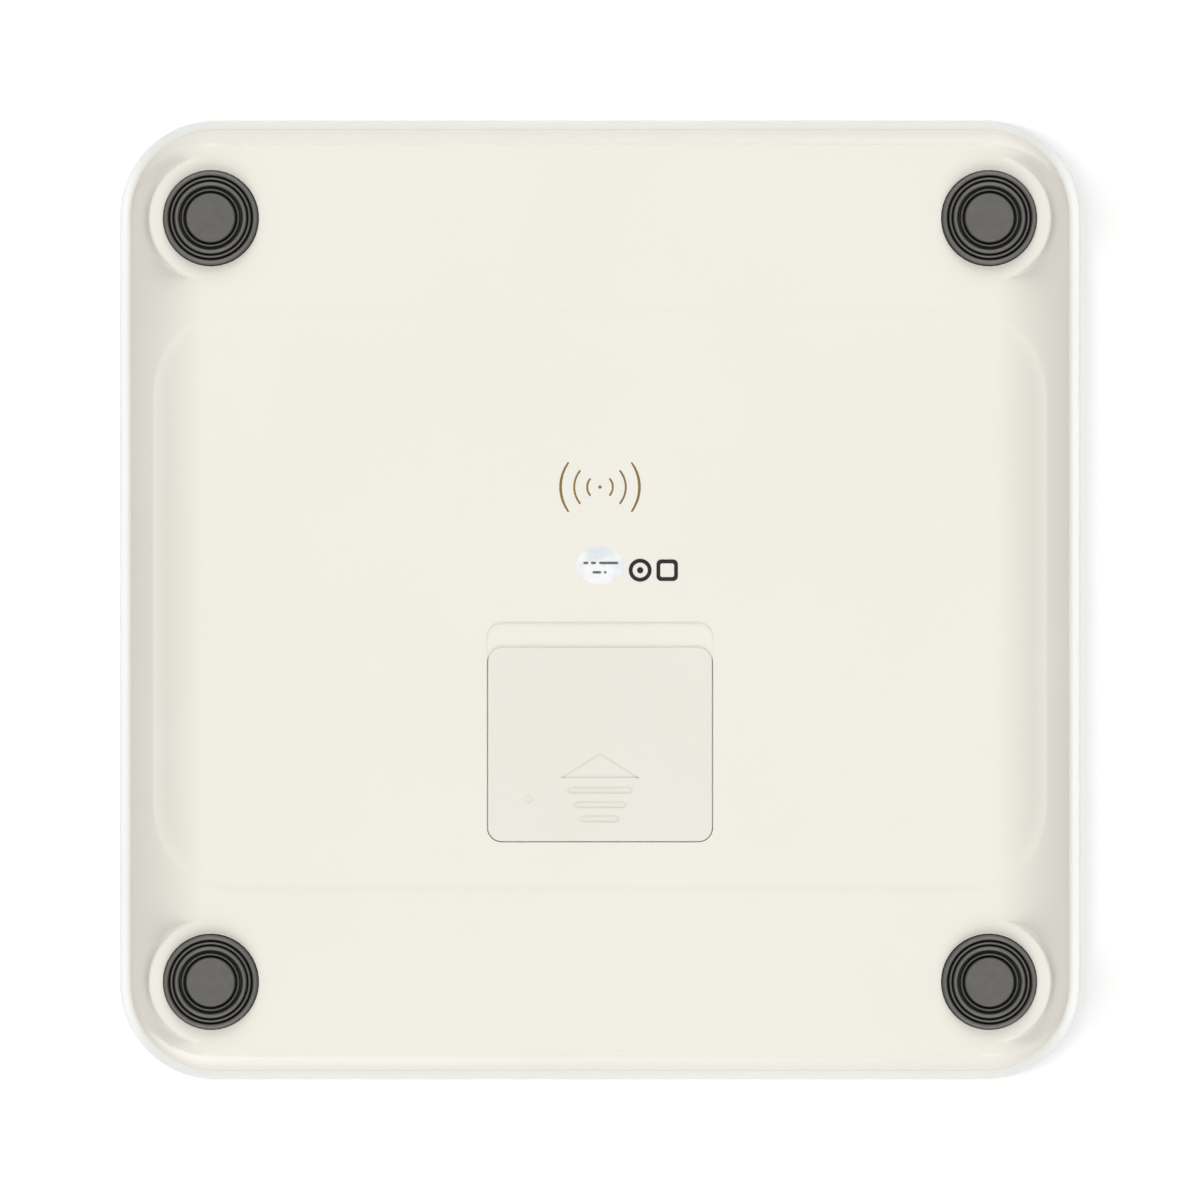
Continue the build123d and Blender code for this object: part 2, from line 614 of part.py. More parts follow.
save("glass_platform", glass_platform())
save("platform_back_print", platform_back_print())
save("platform_tape", platform_tape())
save("base_shell", base_shell())
for corner, (sx, sy) in CORNERS.items():
    save(f"foot_pad_{corner}", at_foot(foot_pad(), sx, sy))
    save(f"foot_cup_{corner}", at_foot(foot_cup(), sx, sy))
    save(f"load_cell_{corner}", at_foot(load_cell(), sx, sy))
    save(f"cell_housing_{corner}", cell_housing(sx, sy))
    save(f"cell_harness_{corner}", cell_harness(sx, sy))
save("gauge_coatings", [at_foot(gauge_coating(), sx, sy) for sx, sy in CORNERS.values()])
save("support_pads", [support_pad(sx, sy) for sx, sy in CORNERS.values()])
save("housing_screws", [screw(x, y, EAR_TOP, HOUSING_SCREW)
                        for sx, sy in CORNERS.values() for x, y in ear_places(sx, sy)])
save("wire_clips", [wire_clip(side * HARNESS_X, y) for side in (-1, 1) for y in (-70, -25, 20)])

save("battery_door", battery_door())
save("door_felt", door_felt())
for number, (y, side) in enumerate(battery_places(), start=1):
    save(f"battery_{number}", battery(y, side))
save("contact_plates", contact_plates())
save("contact_springs", [contact_spring(y, side) for y, side in battery_places()])
save("battery_leads", battery_leads())

save("main_board", main_board())
save("controller_chip", controller_chip())
save("board_components", board_components())
save("board_screws", [screw(x, y, BOARD_TOP, BOARD_SCREW) for x, y in board_posts()])
save("display_module", display_module())
save("display_pins", display_pins())
save("display_frame", display_frame())
save("display_gasket", display_gasket())
save("display_window", display_window())
save("cell_connector_left", cell_connector(-1))
save("cell_connector_right", cell_connector(1))
save("battery_connector", battery_connector())
save("buzzer_disc", buzzer_disc())
save("buzzer_ceramic", buzzer_ceramic())
save("rating_label", rating_label())
save("printed_marks", printed_marks())
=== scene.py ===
import bmesh
import bpy
import json
import math
import numpy as np
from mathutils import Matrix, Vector, geometry
from mathutils.bvhtree import BVHTree


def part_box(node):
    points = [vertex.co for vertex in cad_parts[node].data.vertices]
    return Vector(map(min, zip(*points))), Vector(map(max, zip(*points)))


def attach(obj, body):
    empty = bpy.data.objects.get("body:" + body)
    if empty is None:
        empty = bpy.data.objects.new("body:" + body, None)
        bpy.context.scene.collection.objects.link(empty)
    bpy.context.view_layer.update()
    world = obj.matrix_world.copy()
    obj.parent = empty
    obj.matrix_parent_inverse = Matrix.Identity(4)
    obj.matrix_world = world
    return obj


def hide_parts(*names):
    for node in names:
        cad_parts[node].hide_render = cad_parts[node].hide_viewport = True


# Looks of a square glass bathroom scale, shown from underneath.
# Metres, in the CAD frame: +Z is up and the feet stand at z = 0.

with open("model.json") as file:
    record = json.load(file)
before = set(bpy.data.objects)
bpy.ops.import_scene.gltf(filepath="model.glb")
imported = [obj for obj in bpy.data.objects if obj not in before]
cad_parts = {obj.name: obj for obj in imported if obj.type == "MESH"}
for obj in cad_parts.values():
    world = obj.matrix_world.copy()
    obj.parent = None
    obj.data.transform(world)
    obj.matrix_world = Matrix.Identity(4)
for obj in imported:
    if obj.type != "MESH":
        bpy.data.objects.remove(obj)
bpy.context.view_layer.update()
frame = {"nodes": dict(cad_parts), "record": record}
nodes = frame["nodes"]
MM = 0.001

CORNERS = ("front_left", "front_right", "rear_left", "rear_right")

# ---- sizes read from the frame ----
GLASS_LOW, GLASS_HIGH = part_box("glass_platform")
SHELL_LOW, SHELL_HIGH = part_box("base_shell")
DOOR_LOW, DOOR_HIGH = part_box("battery_door")
BUZZER_LOW, BUZZER_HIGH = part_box("buzzer_disc")
LABEL_LOW, LABEL_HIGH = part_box("rating_label")
MODULE_LOW, MODULE_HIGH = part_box("display_module")
FOOT_BOXES = {corner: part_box(f"foot_pad_{corner}") for corner in CORNERS}

# ---- form of the base ----
PLATEAU_Z = SHELL_LOW.z                 # the flat underside, level with the face of each boss
PANEL_DEPTH = 0.6 * MM
RIM_Z = SHELL_HIGH.z - 0.8 * MM         # where the walls meet the flange
RIM = SHELL_HIGH.x - 0.3 * MM           # half width there
RISE = RIM_Z - PLATEAU_Z
RIM_CORNER = 25 * MM
DRAFT = 5.2 * MM                        # how far the walls lean in over their height
FLAT = 114 * MM                         # half width of the flat, where the flanks begin
PANEL_X = 129.5 * MM
PANEL_Y = 84.5 * MM
PANEL_CORNER = 25 * MM
PANEL_SLOPE = 3.6 * MM                  # width of the soft step round the panel
BOSS_RADIUS = 18.1 * MM
BOSS_ROUND = 0.8 * MM
BOSS_BLEND = 4                          # the higher, the sharper the crease round a boss
LEAST_RISE = 0.0001 * MM                # stands in for zero where a rise is divided by

# ---- where the moulding keeps the CAD's own faces ----
BAY_MARGIN = 1 * MM                     # round the battery door
LANDING = 8 * MM                        # beyond the door, where it slides to
SLOT_REACH = 13 * MM                    # round the buzzer, over the sound slots
WELL_REACH = 14.5 * MM                  # round each foot's well

# ---- fineness of the moulding's mesh ----
BOSS_CIRCLES = (15.4, 16.4, 17.1, 17.3, 17.5, 17.7, 17.9, 18.05, 18.15, 18.3, 18.5, 18.7, 18.9,
                19.1, 19.4, 19.8, 20.3, 20.9, 21.6, 22.4, 23.3)     # radii in mm, closest at the edge
BOSS_SPACING = 0.9 * MM
OUTLINE_SPACING = 1.8 * MM              # along the panel's step and along the walls
WALL_STEP = 0.5                         # across the walls, in mm
FLANK_STEP = 2.5                        # along the flanks, in mm
FIELD_STEP = 5.5                        # over the rest, in mm

# ---- form of the glass, the treads and the small pieces ----
GLASS_CORNER = 28 * MM
GLASS_ROUND = 0.3 * MM                  # rounding of the edge
GLASS_GROUND = 0.8 * MM                 # width of the ground band on both faces
TREAD_RIM = 13.6                        # the tread's radius, in mm like its ridges
TREAD_RIDGES = ((12.78, 0.86, 0.0), (11.28, 0.55, 0.15), (9.8, 0.9, 0.0), (8.06, 0.4, 0.3))
RIDGE_POWER = 2.4                       # 1 gives pointed ridges, more gives rounder ones
TREAD_DISC = (6.7, 0.3)                 # radius and depth of the flat middle
DISC_EDGE = (2.6, 1.7)                  # factor and power of the fall round it
TREAD_FLOOR = 1.9                       # depth of the grooves
TREAD_BACK = 2.4                        # height of the tread's back
SPIGOT_RADIUS = 9.0                     # of the plug on the tread's back
SPIGOT_TOP = 3.4
TREAD_BREAK = 0.1                       # bevel on the edges of the back
STICKER_BARS = ((4.1, 0.7, 1.5), (1.9, 0.7, 1.5), (-2.5, 0.7, 5.6), (0.9, -2.0, 2.6), (-1.5, -2.0, 0.8))
BAR_WIDTH = 0.75 * MM                   # of the bars above, which have place and length in mm
DIGIT_HEIGHT = 19 * MM
DIGIT_WIDTH = 9.5 * MM
DIGIT_PITCH = 14.5 * MM
DIGIT_COUNT = 4
SEGMENT_WIDTH = 1.7 * MM
LIT_DEPTH = 0.06 * MM                   # thickness of the dark segments
FAINT_DEPTH = 0.03 * MM


def centre(low, high):
    return (low + high) / 2


def boss_centres():
    return [centre(*FOOT_BOXES[corner]) for corner in CORNERS]


# ---- materials ----
def new_material(name):
    material = bpy.data.materials.new(name)
    material.use_nodes = True
    tree = material.node_tree
    shader = tree.nodes["Principled BSDF"]
    return material, tree, shader


def object_coordinates(tree, stretch=(1, 1, 1)):
    """Places in object space, squeezed along an axis to draw features out along it."""
    place = tree.nodes.new("ShaderNodeTexCoord").outputs["Object"]
    if stretch == (1, 1, 1):
        return place
    mapping = tree.nodes.new("ShaderNodeMapping")
    mapping.inputs["Scale"].default_value = stretch
    tree.links.new(place, mapping.inputs["Vector"])
    return mapping.outputs["Vector"]


def noise(tree, scale, detail=3.0, stretch=(1, 1, 1)):
    """Noise in object space; scale is the number of features in a metre."""
    texture = tree.nodes.new("ShaderNodeTexNoise")
    texture.inputs["Scale"].default_value = scale
    texture.inputs["Detail"].default_value = detail
    tree.links.new(object_coordinates(tree, stretch), texture.inputs["Vector"])
    return texture.outputs["Fac"]


def ramp(tree, source, low, high, first=0.3, last=0.7):
    """Turns the range first to last into the range low to high."""
    spread = tree.nodes.new("ShaderNodeMapRange")
    spread.inputs["From Min"].default_value = first
    spread.inputs["From Max"].default_value = last
    spread.inputs["To Min"].default_value = low
    spread.inputs["To Max"].default_value = high
    tree.links.new(source, spread.inputs["Value"])
    return spread.outputs["Result"]


def blend_colours(tree, source, first, second, low=0.35, high=0.65):
    """Colour that drifts between two tones."""
    colours = tree.nodes.new("ShaderNodeValToRGB")
    colours.color_ramp.elements[0].position = low
    colours.color_ramp.elements[0].color = (*first, 1)
    colours.color_ramp.elements[1].position = high
    colours.color_ramp.elements[1].color = (*second, 1)
    tree.links.new(source, colours.inputs["Fac"])
    return colours.outputs["Color"]


def bump(tree, source, depth, strength=0.5):
    node = tree.nodes.new("ShaderNodeBump")
    node.inputs["Strength"].default_value = strength
    node.inputs["Distance"].default_value = depth
    tree.links.new(source, node.inputs["Height"])
    return node.outputs["Normal"]


def surface(name, tone, other, rough, grain=1800, depth=0.02, drift=18, stretch=(1, 1, 1), **sockets):
    """General finish: two close tones that drift, roughness that varies, and a grain depth mm deep."""
    material, tree, shader = new_material(name)
    for socket, value in sockets.items():
        shader.inputs[socket.replace("_", " ")].default_value = value
    colour = blend_colours(tree, noise(tree, drift), tone, other)
    tree.links.new(colour, shader.inputs["Base Color"])
    tree.links.new(ramp(tree, noise(tree, grain / 6, 3.0, stretch), *rough), shader.inputs["Roughness"])
    tree.links.new(bump(tree, noise(tree, grain, 2.0, stretch), depth * MM), shader.inputs["Normal"])
    return material


def moulding(name, tone, warm=0.985, rough=(0.4, 0.52)):
    """Satin moulded plastic in one tone, very slightly uneven."""
    other = (tone[0] * warm, tone[1] * warm, tone[2] * warm * 0.99)
    return surface(name, tone, other, rough, grain=2600, depth=0.012, drift=14)


def metal(name, tone, rough, stretch=(1, 1, 1), grain=4000):
    """Bare or plated metal with fine drawn-out marks."""
    other = tuple(c * 0.88 for c in tone)
    return surface(name, tone, other, rough, grain=grain, depth=0.006, drift=90, stretch=stretch,
                   Metallic=1.0)


def clear_where(tree, shader, wanted, tint=(1, 1, 1)):
    """Puts a see-through shader in place of the material's own wherever the wanted socket gives 1."""
    clear = tree.nodes.new("ShaderNodeBsdfTransparent")
    clear.inputs["Color"].default_value = (*tint, 1)
    mix = tree.nodes.new("ShaderNodeMixShader")
    tree.links.new(wanted, mix.inputs["Fac"])
    tree.links.new(shader.outputs["BSDF"], mix.inputs[1])
    tree.links.new(clear.outputs["BSDF"], mix.inputs[2])
    tree.links.new(mix.outputs["Shader"], tree.nodes["Material Output"].inputs["Surface"])


def let_light_through(tree, shader, tint):
    """Tints the light that passes a glass instead of stopping it, so that what lies under is lit."""
    path = tree.nodes.new("ShaderNodeLightPath")
    clear_where(tree, shader, path.outputs["Is Shadow Ray"], tint)


def clear_glass():
    """Clear tempered glass with the faint waviness of its surfaces."""
    material, tree, shader = new_material("tempered_glass")
    shader.inputs["Base Color"].default_value = (0.95, 0.99, 0.965, 1)
    shader.inputs["Transmission Weight"].default_value = 1.0
    shader.inputs["IOR"].default_value = 1.5
    tree.links.new(ramp(tree, noise(tree, 250), 0.0, 0.02), shader.inputs["Roughness"])
    tree.links.new(bump(tree, noise(tree, 25), 0.00001, 0.15), shader.inputs["Normal"])
    let_light_through(tree, shader, (0.97, 0.985, 0.975))
    return material


def ground_glass():
    """Edge of the glass, ground round and left faintly milky."""
    material, tree, shader = new_material("ground_glass")
    shader.inputs["Transmission Weight"].default_value = 0.2
    shader.inputs["IOR"].default_value = 1.5
    tint = blend_colours(tree, noise(tree, 60), (0.87, 0.90, 0.88), (0.90, 0.92, 0.90))
    tree.links.new(tint, shader.inputs["Base Color"])
    tree.links.new(ramp(tree, noise(tree, 900, 4.0, (1, 1, 0.1)), 0.12, 0.24), shader.inputs["Roughness"])
    tree.links.new(bump(tree, noise(tree, 5000, 2.0), 0.000008), shader.inputs["Normal"])
    return material


def smoked_window():
    """Dark translucent enamel over the display."""
    material, tree, shader = new_material("smoked_window")
    shader.inputs["Transmission Weight"].default_value = 0.85
    shader.inputs["IOR"].default_value = 1.45
    tint = blend_colours(tree, noise(tree, 400), (0.16, 0.165, 0.17), (0.18, 0.185, 0.19))
    tree.links.new(tint, shader.inputs["Base Color"])
    tree.links.new(ramp(tree, noise(tree, 700), 0.03, 0.08), shader.inputs["Roughness"])
    let_light_through(tree, shader, (0.5, 0.51, 0.52))
    return material


def tread_rubber():
    """Dark grey moulded rubber: a dull skin with fine pits, with painted shade that darkens it deeper into
    the grooves.
    """
    material, tree, shader = new_material("foot_rubber")
    height = tree.nodes.new("ShaderNodeSeparateXYZ")
    tree.links.new(object_coordinates(tree), height.inputs["Vector"])
    # Painted shade: the colour goes from the ridge tone at the floor to the near-black groove tone 1.3 mm up,
    # in place of the shade deep in the grooves.
    shade_reach = 1.3 * MM
    groove_shade = ramp(tree, height.outputs["Z"], 1.0, 0.0, 0.0, shade_reach)
    shade_and_patches = tree.nodes.new("ShaderNodeMath")
    shade_and_patches.operation = "MULTIPLY"
    tree.links.new(groove_shade, shade_and_patches.inputs[0])
    tree.links.new(ramp(tree, noise(tree, 350, 5.0), 0.85, 1.0), shade_and_patches.inputs[1])
    # The groove tone is painted shade; the ridge tone is the rubber's own colour, varied in random patches.
    groove, ridge = (0.012, 0.011, 0.009), (0.142, 0.139, 0.126)
    colour = blend_colours(tree, shade_and_patches.outputs["Value"], groove, ridge, 0.0, 1.0)
    tree.links.new(colour, shader.inputs["Base Color"])
    tree.links.new(ramp(tree, noise(tree, 500), 0.42, 0.58), shader.inputs["Roughness"])
    tree.links.new(bump(tree, noise(tree, 5200, 3.0), 0.00002), shader.inputs["Normal"])
    return material


def label_foil():
    """Silvery film whose colour drifts between a cool tone and broad soft patches of painted reflection."""
    material, tree, shader = new_material("label_foil")
    shader.inputs["Metallic"].default_value = 0.35
    # Painted reflection: noise lays broad pale patches into the foil's colour in place of the light it
    # reflects.
    cool, reflection_patch_tone = (0.79, 0.83, 0.87), (0.95, 0.95, 0.95)
    colour = blend_colours(tree, noise(tree, 160, 1.0), cool, reflection_patch_tone, 0.42, 0.6)
    tree.links.new(colour, shader.inputs["Base Color"])
    tree.links.new(ramp(tree, noise(tree, 300), 0.25, 0.4), shader.inputs["Roughness"])
    tree.links.new(bump(tree, noise(tree, 120, 1.0), 0.00006), shader.inputs["Normal"])
    return material


def circuit_board():
    """Green solder mask over etched tracks."""
    material, tree, shader = new_material("circuit_board")
    tracks = tree.nodes.new("ShaderNodeTexBrick")
    tracks.inputs["Scale"].default_value = 260
    tracks.inputs["Mortar Size"].default_value = 0.06
    tracks.inputs["Color1"].default_value = (0.012, 0.085, 0.03, 1)
    tracks.inputs["Color2"].default_value = (0.016, 0.1, 0.036, 1)
    tracks.inputs["Mortar"].default_value = (0.04, 0.2, 0.07, 1)
    tree.links.new(object_coordinates(tree), tracks.inputs["Vector"])
    tree.links.new(tracks.outputs["Color"], shader.inputs["Base Color"])
    tree.links.new(ramp(tree, noise(tree, 300), 0.22, 0.34), shader.inputs["Roughness"])
    tree.links.new(bump(tree, tracks.outputs["Fac"], 0.00003), shader.inputs["Normal"])
    return material


def felt():
    """Grey needled felt with a soft nap."""
    return surface("felt", (0.16, 0.16, 0.165), (0.27, 0.27, 0.27), (0.9, 1.0), grain=3600, depth=0.18,
                   drift=2400, Sheen_Weight=0.6, Sheen_Roughness=0.5)


def battery_jacket(side):
    """Dark sleeve with a copper-coloured band and bare metal at the positive end, which faces side."""
    material, tree, shader = new_material(f"battery_jacket_{'right' if side > 0 else 'left'}")
    low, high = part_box("battery_1" if side > 0 else "battery_2")
    along = tree.nodes.new("ShaderNodeSeparateXYZ")
    tree.links.new(object_coordinates(tree), along.inputs["Vector"])
    start, end = (low.x, high.x) if side > 0 else (high.x, low.x)
    share = ramp(tree, along.outputs["X"], 0.0, 1.0, start, end)
    bands = tree.nodes.new("ShaderNodeValToRGB")
    bands.color_ramp.interpolation = "CONSTANT"
    bare, sleeve, copper = (0.6, 0.6, 0.6, 1), (0.012, 0.013, 0.015, 1), (0.42, 0.19, 0.06, 1)
    bands.color_ramp.elements[0].position = 0.0
    bands.color_ramp.elements[0].color = bare
    bands.color_ramp.elements[1].position = 0.02
    bands.color_ramp.elements[1].color = sleeve
    for position, colour in ((0.68, copper), (0.965, bare)):
        bands.color_ramp.elements.new(position).color = colour
    tree.links.new(share, bands.inputs["Fac"])
    tree.links.new(bands.outputs["Color"], shader.inputs["Base Color"])
    shader.inputs["Metallic"].default_value = 0.55
    tree.links.new(ramp(tree, noise(tree, 400), 0.22, 0.36), shader.inputs["Roughness"])
    tree.links.new(bump(tree, noise(tree, 900), 0.000006), shader.inputs["Normal"])
    return material


def slot_materials():
    """One material for each slot of the record."""
    round_marks = (1, 1, 0.05)
    return {
        "platform_glass": clear_glass(),
        "back_print": surface("back_print", (0.80, 0.81, 0.79), (0.79, 0.80, 0.78), (0.3, 0.42),
                              3000, 0.008),
        "bonding_tape": surface("bonding_tape", (0.6, 0.6, 0.57), (0.55, 0.55, 0.53), (0.6, 0.8),
                                2500, 0.05, 200),
        "shell_plastic": moulding("shell_plastic", (0.745, 0.722, 0.655)),
        "door_plastic": moulding("door_plastic", (0.712, 0.69, 0.63), rough=(0.42, 0.55)),
        "felt": felt(),
        "gauge_silicone": surface("gauge_silicone", (0.78, 0.78, 0.75), (0.7, 0.7, 0.68), (0.25, 0.4),
                                  500, 0.2, 200),
        "screw_steel": metal("screw_steel", (0.62, 0.63, 0.66), (0.22, 0.38), round_marks),
        "clip_plastic": moulding("clip_plastic", (0.66, 0.65, 0.6)),
        "nickel_contact": metal("nickel_contact", (0.72, 0.7, 0.65), (0.16, 0.3), (0.05, 1, 1)),
        "lead_wire": surface("lead_wire", (0.42, 0.018, 0.012), (0.36, 0.015, 0.01), (0.35, 0.5),
                             1500, 0.02, 60),
        "battery_jacket": battery_jacket(1),
        "harness_wire": surface("harness_wire", (0.03, 0.03, 0.033), (0.04, 0.04, 0.042), (0.35, 0.5),
                                1500, 0.02, 60),
        "circuit_board": circuit_board(),
        "chip_resin": surface("chip_resin", (0.01, 0.01, 0.011), (0.016, 0.016, 0.017), (0.15, 0.35),
                              300, 0.2, 150),
        "component": surface("component", (0.3, 0.22, 0.13), (0.1, 0.1, 0.11), (0.3, 0.5),
                             2000, 0.02, 140),
        "display_face": surface("display_face", (0.36, 0.41, 0.35), (0.34, 0.39, 0.335), (0.3, 0.4),
                                1200, 0.01, 40),
        "display_plastic": moulding("display_plastic", (0.03, 0.03, 0.032), 1.2),
        "foam": surface("foam", (0.025, 0.025, 0.025), (0.05, 0.05, 0.05), (0.9, 1.0),
                        2200, 0.25, 1800),
        "smoked_window": smoked_window(),
        "connector_nylon": moulding("connector_nylon", (0.7, 0.68, 0.58)),
        "buzzer_brass": metal("buzzer_brass", (0.72, 0.5, 0.2), (0.24, 0.4), (1, 0.06, 1)),
        "buzzer_ceramic": surface("buzzer_ceramic", (0.7, 0.69, 0.64), (0.64, 0.63, 0.58), (0.5, 0.7),
                                  2500, 0.03, 300),
        "label_foil": label_foil(),
        "black_ink": surface("black_ink", (0.006, 0.006, 0.007), (0.012, 0.012, 0.013), (0.5, 0.62),
                             4000, 0.01, 500),
        "foot_rubber": tread_rubber(),
        "cup_plastic": moulding("cup_plastic", (0.05, 0.05, 0.052), 1.15),
        "cell_steel": metal("cell_steel", (0.6, 0.6, 0.61), (0.26, 0.42), (0.04, 1, 1)),
        "housing_plastic": moulding("housing_plastic", (0.55, 0.55, 0.53)),
    }


def set_material(piece, *materials):
    piece.data.materials.clear()
    for material in materials:
        piece.data.materials.append(material)


def smooth(mesh, angle=30):
    """Smooth shading with edges sharper than the angle left crisp."""
    mesh.shade_smooth()
    mesh.set_sharp_from_angle(angle=math.radians(angle))


def add_piece(name, mesh, body, slot, *replaced, material=None):
    """Puts a new mesh in the scene, on its body, with the finish of its slot or its own material."""
    piece = bpy.data.objects.new(name, mesh)
    bpy.context.scene.collection.objects.link(piece)
    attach(piece, body)
    if replaced:
        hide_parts(*replaced)
    set_material(piece, material or finishes[slot])
    return piece


# ---- underside of the base shell ----
def inset_of(x, y, half_x, half_y, corner):
    """How far a point lies inside a rounded rectangle."""
    qx = np.abs(x) - (half_x - corner)
    qy = np.abs(y) - (half_y - corner)
    outside = np.hypot(np.maximum(qx, 0), np.maximum(qy, 0))
    return corner - outside - np.minimum(np.maximum(qx, qy), 0)


def soft_max(a, b, width):
    """The greater of two heights, rounded over where they differ by less than the width."""
    share = np.clip(0.5 + 0.5 * (a - b) / width, 0, 1)
    return b + (a - b) * share + width * share * (1 - share)


def flank_curve():
    """Points of the convex flank, as distance from the middle and rise above the flat."""
    t = np.linspace(0, 1, 200)
    ends = np.array([(FLAT, 0), (FLAT + 8.5 * MM, 0), (RIM - 3.6 * MM, RISE - 5.2 * MM), (RIM, RISE)])
    weights = np.stack([(1 - t) ** 3, 3 * t * (1 - t) ** 2, 3 * t ** 2 * (1 - t), t ** 3], axis=1)
    return (weights @ ends).T


FLANK_X, FLANK_RISE = flank_curve()


def boss_rise(reach):
    """Rise of a boss over its flat face, by the distance from its axis."""
    past = reach - (BOSS_RADIUS - BOSS_ROUND)
    turned = np.clip(past, 0, BOSS_ROUND * 0.985)
    side = np.maximum(past - turned, 0) * 6
    return BOSS_ROUND - np.sqrt(BOSS_ROUND ** 2 - turned ** 2) + side


def underside(x, y):
    """Height of the base's underside over a point, with its soft steps and rounded bosses."""
    flank = np.interp(np.abs(x), FLANK_X, FLANK_RISE)
    lean = np.interp(np.abs(x), FLANK_X, np.gradient(FLANK_RISE, FLANK_X))
    wall = RISE - inset_of(x, y, RIM, RIM, RIM_CORNER) / DRAFT * RISE
    rise = np.maximum(soft_max(flank, wall, 0.9 * MM), LEAST_RISE)
    share = np.clip(inset_of(x, y, PANEL_X, PANEL_Y, PANEL_CORNER) / PANEL_SLOPE, 0, 1)
    step = PANEL_DEPTH * (1 - (1 - share) ** 2) * np.sqrt(1 + lean ** 2)
    for foot in boss_centres():
        face = np.maximum(boss_rise(np.hypot(x - foot.x, y - foot.y)), LEAST_RISE)
        rise = (rise ** -BOSS_BLEND + face ** -BOSS_BLEND) ** (-1 / BOSS_BLEND)
    return PLATEAU_Z + np.minimum(rise + step, RISE)


def ring_points(half_x, half_y, corner, spacing):
    """Points along a rounded rectangle."""
    points = []
    corner = max(corner, 0.1 * MM)
    for quarter in range(4):
        sx = 1 if quarter in (0, 3) else -1
        sy = 1 if quarter in (0, 1) else -1
        steps = max(3, round(corner * math.pi / 2 / spacing))
        for i in range(steps + 1):
            angle = math.pi / 2 * (quarter + i / steps)
            points.append((sx * (half_x - corner) + corner * math.cos(angle),
                           sy * (half_y - corner) + corner * math.sin(angle)))
        along = 2 * ((half_x if quarter in (0, 2) else half_y) - corner)
        last = points[-1]
        turn = math.pi / 2 * (quarter + 1)
        steps = max(1, round(along / spacing))
        for i in range(1, steps):
            reach = along * i / steps
            points.append((last[0] - math.sin(turn) * reach, last[1] + math.cos(turn) * reach))
    return points


def circle_points(x, y, radius, spacing):
    count = max(24, round(2 * math.pi * radius / spacing))
    return [(x + radius * math.cos(2 * math.pi * i / count), y + radius * math.sin(2 * math.pi * i / count))
            for i in range(count)]


def skin_points():
    """Groups of points that follow the form, the most important first, each with its least spacing."""
    bosses = []
    for foot in boss_centres():
        for radius in BOSS_CIRCLES:
            bosses += circle_points(foot.x, foot.y, radius * MM, BOSS_SPACING)
    panel = []
    for step in range(-2, 10):
        inset = step * PANEL_SLOPE / 8
        panel += ring_points(PANEL_X - inset, PANEL_Y - inset, PANEL_CORNER - inset, OUTLINE_SPACING)
    walls = []
    for step in range(1, 15):
        inset = step * WALL_STEP * MM
        walls += ring_points(RIM - inset, RIM - inset, RIM_CORNER - inset, OUTLINE_SPACING)
    flanks = [(side * x * MM, y * FLANK_STEP * MM) for side in (-1, 1)
              for x in np.arange(110, 136, 1.0) for y in range(-54, 55)]
    field = [(x * FIELD_STEP * MM, y * FIELD_STEP * MM) for x in range(-24, 25) for y in range(-24, 25)]
    return [(bosses, 0.15 * MM), (panel, 0.5 * MM), (walls, 0.35 * MM), (flanks, 0.8 * MM), (field, 2.2 * MM)]


def thin_out(taken, points, room):
    """Adds the points that are no nearer than room to one taken before."""
    cell = 2.5 * MM
    grid = {}
    for x, y in taken:
        grid.setdefault((math.floor(x / cell), math.floor(y / cell)), []).append((x, y))
    kept = []
    for x, y in points:
        i, j = math.floor(x / cell), math.floor(y / cell)
        near = (p for a in (-1, 0, 1) for b in (-1, 0, 1) for p in grid.get((i + a, j + b), ()))
        if all((x - p[0]) ** 2 + (y - p[1]) ** 2 > room * room for p in near):
            kept.append((x, y))
    return kept


def inside_loop(x, y, loop):
    """Which points lie inside a closed outline."""
    found = np.zeros(len(x), bool)
    for (x0, y0), (x1, y1) in zip(loop, loop[1:] + loop[:1]):
        if y0 == y1:
            continue
        crosses = (y0 > y) != (y1 > y)
        found ^= crosses & (x < (x1 - x0) * (y - y0) / (y1 - y0) + x0)
    return found


def is_outer_face(face, tree):
    """True for a face of the moulding's outer skin, which the fine mesh takes over."""
    spot = face.calc_center_median()
    if spot.z > RIM_Z - 0.05 * MM:
        return False
    upright = abs(face.normal.z) < 0.5
    across_bay = DOOR_LOW.x - BAY_MARGIN < spot.x < DOOR_HIGH.x + BAY_MARGIN
    along_bay = DOOR_LOW.y - BAY_MARGIN < spot.y < DOOR_HIGH.y + LANDING
    if across_bay and along_bay and (upright or spot.z > PLATEAU_Z + PANEL_DEPTH + 0.01 * MM):
        return False
    buzzer = centre(BUZZER_LOW, BUZZER_HIGH)
    if upright and math.hypot(spot.x - buzzer.x, spot.y - buzzer.y) < SLOT_REACH:
        return False
    if upright and any(math.hypot(spot.x - f.x, spot.y - f.y) < WELL_REACH for f in boss_centres()):
        return False
    hit = tree.ray_cast(spot + face.normal * 0.02 * MM, Vector((0, 0, -1)))
    return hit[0] is None


def edge_loops(bm):
    """Closed chains of the vertices on open edges."""
    open_edges = [e for e in bm.edges if len(e.link_faces) == 1]
    steps = {}
    for edge in open_edges:
        a, b = edge.verts
        steps.setdefault(a, []).append(b)
        steps.setdefault(b, []).append(a)
    loops = []
    while steps:
        start = next(iter(steps))
        loop = [start]
        while steps.get(loop[-1]):
            there = steps[loop[-1]].pop()
            steps[there].remove(loop[-1])
            if there is start:
                break
            loop.append(there)
        loops.append(loop)
        steps = {v: ends for v, ends in steps.items() if ends}
    return loops


